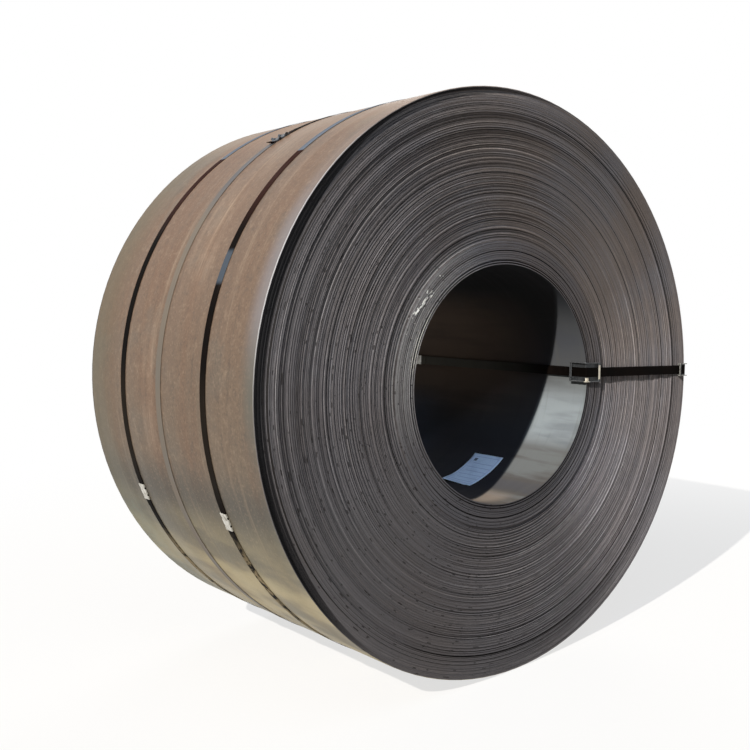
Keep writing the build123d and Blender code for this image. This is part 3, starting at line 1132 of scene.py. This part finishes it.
# Painted highlights on the inner front corner: on the keeper bar and at the corner's bend, where the key
# falls.
keeper = ((bore_seat + 0.055, bore_seat + 0.066), (-0.024, 0.024), (-0.54, -half_width - 0.0075))
corner = ((bore_seat - 0.012, bore_seat + 0.012), (-0.035, -0.019), (-0.54, -half_width - 0.001))
dull_tones = (40, 42, 44), (62, 64, 66), (30, 29, 28)
bright_zinc = zinc_finish("bright_zinc", (176, 174, 166), (212, 211, 205), (128, 122, 110), 0.3)
dull_zinc = zinc_finish("dull_zinc", *dull_tones, 0.2)
worn_zinc = zinc_finish("worn_zinc", (92, 94, 96), (128, 130, 132), (60, 58, 56), 0.2)
highlit_zinc = zinc_finish("highlit_zinc", *dull_tones, 0.2, (keeper, corner))
dark_seal = zinc_finish("dark_seal", (14, 14, 16), (98, 104, 112), (10, 10, 11), 0.2)
print("zinc flowers", round(1000 / flowers_per_metre, 1), "mm across")

# %% [markdown]
# The seals and corners keep their CAD shapes. Sheet metal is never quite sharp, and a sharp edge
# in a render catches no light, so two modifiers are added: Weld joins the CAD faces, and Bevel
# eases the edges and gives them a finish of their own. The CAD mesh itself stays as it is.

# %% Seals and corners
def eased(node_name, width, face_finish, edge_finish):
    """Welds a CAD node's faces together and eases its edges, so that they catch the light."""
    piece = frame["nodes"][node_name]
    weld = piece.modifiers.new("weld", "WELD")
    weld.merge_threshold = 0.00001
    bevel = piece.modifiers.new("ease", "BEVEL")
    bevel.width = width
    bevel.segments = 2
    bevel.limit_method = "ANGLE"
    bevel.angle_limit = radians(40)
    bevel.material = 1
    piece.data.materials.clear()
    piece.data.materials.append(face_finish)
    piece.data.materials.append(edge_finish)


corner_ease, seal_ease = 0.0006, 0.0003
for name in frame["nodes"]:
    if name.startswith("protector_"):
        face_finish = highlit_zinc if name == "protector_front_inner" else dull_zinc
        eased(name, corner_ease, face_finish, bright_zinc if name.endswith("outer") else worn_zinc)
    elif name.startswith("seal_"):
        seal_finish = dark_seal if name == "seal_middle" else bright_zinc
        eased(name, seal_ease, seal_finish, seal_finish)
print("eased:", [name for name in frame["nodes"] if name.startswith(("seal_", "protector_"))])

# %% [markdown]
# Where the crimping tool has cut into the upper seal, its notched sides stand up as short lugs.
# A lug could be pulled out of the seal's own mesh, but the CAD mesh stays as it is, so each one
# is a small sheet of its own that rises from the seal's side and leans over.

# %% Seal lugs
lug_angle = radians(middle_seal_angle)
lug_out = np.array((cos(lug_angle), 0, sin(lug_angle)))
lug_along = np.array((-sin(lug_angle), 0, cos(lug_angle)))
seal_points = np.array([corner.co for corner in frame["nodes"]["seal_middle"].data.vertices])
seal_top = (seal_points @ lug_out).max()
seal_centre = ((seal_points @ lug_along).max() + (seal_points @ lug_along).min()) / 2
seal_sides = (seal_points[:, 1].min() + 0.001, seal_points[:, 1].max() - 0.001)
lug_draw = np.random.default_rng(57)
lug_rows, lug_columns = 5, 7
lug_sunk, lug_taper = 0.0008, 0.4
lug_points, lug_faces = [], []
for lug_shift in (-0.014, 0.014):
    for lug_side, lean_way in zip(seal_sides, (-1, 1)):
        lug_height = lug_draw.uniform(0.006, 0.009)
        lug_lean = lug_draw.uniform(0.002, 0.007) * lean_way
        lug_width = lug_draw.uniform(0.017, 0.023)
        lug_twist = lug_draw.uniform(-0.005, 0.005)
        first = len(lug_points)
        for up in np.linspace(0, 1, lug_rows):
            for out_share in np.linspace(-0.5, 0.5, lug_columns):
                shift = lug_shift + lug_width * out_share * (1 - lug_taper * up) + lug_twist * up
                rise = lug_height * up * (1 - 2 * out_share * out_share) - lug_sunk
                point = lug_out * (seal_top + rise) + lug_along * (seal_centre + shift)
                lug_points.append(point + np.array((0, lug_side + lug_lean * up * up, 0)))
        for row in range(lug_rows - 1):
            for column in range(lug_columns - 1):
                near = first + row * lug_columns + column
                lug_faces.append((near, near + 1, near + lug_columns + 1, near + lug_columns))
print(len(lug_faces), "lug faces before thickness")

# %% [markdown]
# The lugs, and the label after them, are thin sheets. Both sides could be modelled point by
# point, but a Solidify modifier gives an open grid its thickness, and the grid stays easy to bend.

# %% Thin sheets
def thickened(name, points, faces, thickness):
    """A mesh with a Solidify modifier that grows to both sides."""
    mesh = bpy.data.meshes.new(name)
    mesh.from_pydata(points, [], faces)
    piece = bpy.data.objects.new(name, mesh)
    bpy.context.collection.objects.link(piece)
    sheet = piece.modifiers.new("thickness", "SOLIDIFY")
    sheet.thickness = thickness
    sheet.offset = 0
    return piece


lugs = thickened("seal_middle_lugs", [tuple(point) for point in lug_points], lug_faces, 0.001)
lugs.data.materials.append(dark_seal)
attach(lugs, "root")
print("made", lugs.name)

# %% [markdown]
# The label is a sheet of paper stuck to the bottom of the bore, with one corner coming away.
# It could be bent with a Shrinkwrap modifier, but the bore is a plain cylinder, so a grid is
# rolled to it by its angles, and the corner is lifted in the same sum.

# %% Label
label_low, label_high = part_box("label")
label_angle = -67
label_round = 0.184
label_half_turn = label_round / bore_radius / 2
label_radius = bore_radius - 0.0012
columns, rows = 24, 20
grid_along, grid_turn = np.meshgrid(np.linspace(label_low.y, label_high.y, columns), np.linspace(-1, 1, rows))
corner_lift = 0.006 * ease((grid_along - label_low.y) / (label_high.y - label_low.y) - grid_turn, 1.1, 2.0)
ripple = 0.0006 * np.sin(40 * grid_along + 3 * grid_turn)
distance = label_radius - np.abs(ripple) - corner_lift
turn = radians(label_angle) + label_half_turn * grid_turn
label_points = np.stack((distance * np.cos(turn), grid_along, axis_height + distance * np.sin(turn)), axis=-1)
label_index = np.arange(columns * rows).reshape(rows, columns)
label_corners = (label_index[:-1, :-1], label_index[1:, :-1], label_index[1:, 1:], label_index[:-1, 1:])
label_faces = np.stack(label_corners, axis=-1).reshape(-1, 4)
label = thickened("label_sheet", label_points.reshape(-1, 3).tolist(), label_faces.tolist(), 0.0003)
label.data.polygons.foreach_set("use_smooth", np.ones(len(label_faces), dtype=bool))
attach(label, "root")
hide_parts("label")
print("label", columns, "by", rows, "points")

# %% [markdown]
# The paper is near white with a painted blue cast, the cold light of the shade it lies in, and
# a little creased, with painted shade in the creases. Its print is a ruled frame with lines
# across it and one dark box. A picture of a label would need an image file. Ruled lines don't:
# each one is a band of the distance along the coil or round the bore.

# %% Label finish
paper = CoilFinish("label_paper")
fibre = paper.noise(paper.place, 300, 4, 0.6)
# Painted blue cast: the near-white paper is tinted with the cold light of the shade it lies in.
colour = paper.blend(paper.step(fibre, 0.3, 0.7), tone(204, 222, 250), tone(220, 234, 255))
crease_shade = paper.noise(paper.place, 22, 3, 0.5)
# Painted shade in the paper's creases.
colour = paper.layers(colour, (crease_shade, 0.5, 0.7, 0.3, (168, 184, 214)))
round_bore = paper.times(paper.facing(label_angle + 90), bore_radius)
label_place = (label_low.y + label_high.y) / 2
print_blue, print_dark = tone(112, 134, 190), tone(60, 70, 100)


def printed(under, y_start, y_end, turn_start, turn_end, strength, ink):
    """Prints a box on the paper, by places from its middle along the coil and round the bore."""
    wide = paper.band(paper.along, label_place + y_start, label_place + y_end)
    high = paper.band(round_bore, turn_start, turn_end)
    return paper.blend(paper.times(wide, high, strength), under, ink)


for row in range(6):
    line = -0.066 + 0.022 * row
    line_end = 0.040 if row % 2 else 0.056
    colour = printed(colour, -0.058, line_end, line, line + 0.0022, 0.6, print_blue)
for edge in (-0.062, 0.060):
    colour = printed(colour, edge, edge + 0.002, -0.078, 0.078, 0.5, print_blue)
for edge in (-0.079, 0.077):
    colour = printed(colour, -0.062, 0.062, edge, edge + 0.002, 0.5, print_blue)
colour = printed(colour, 0.036, 0.052, 0.056, 0.070, 0.85, print_dark)
paper.finish(Base_Color=colour, Roughness=0.85, Specular_IOR_Level=0.2, Normal=paper.bump(fibre, 0.0003, 0.3))
label.data.materials.append(paper.material)
print("label finish has", len(paper.tree.nodes), "nodes")

# %% [markdown]

# %% [markdown]
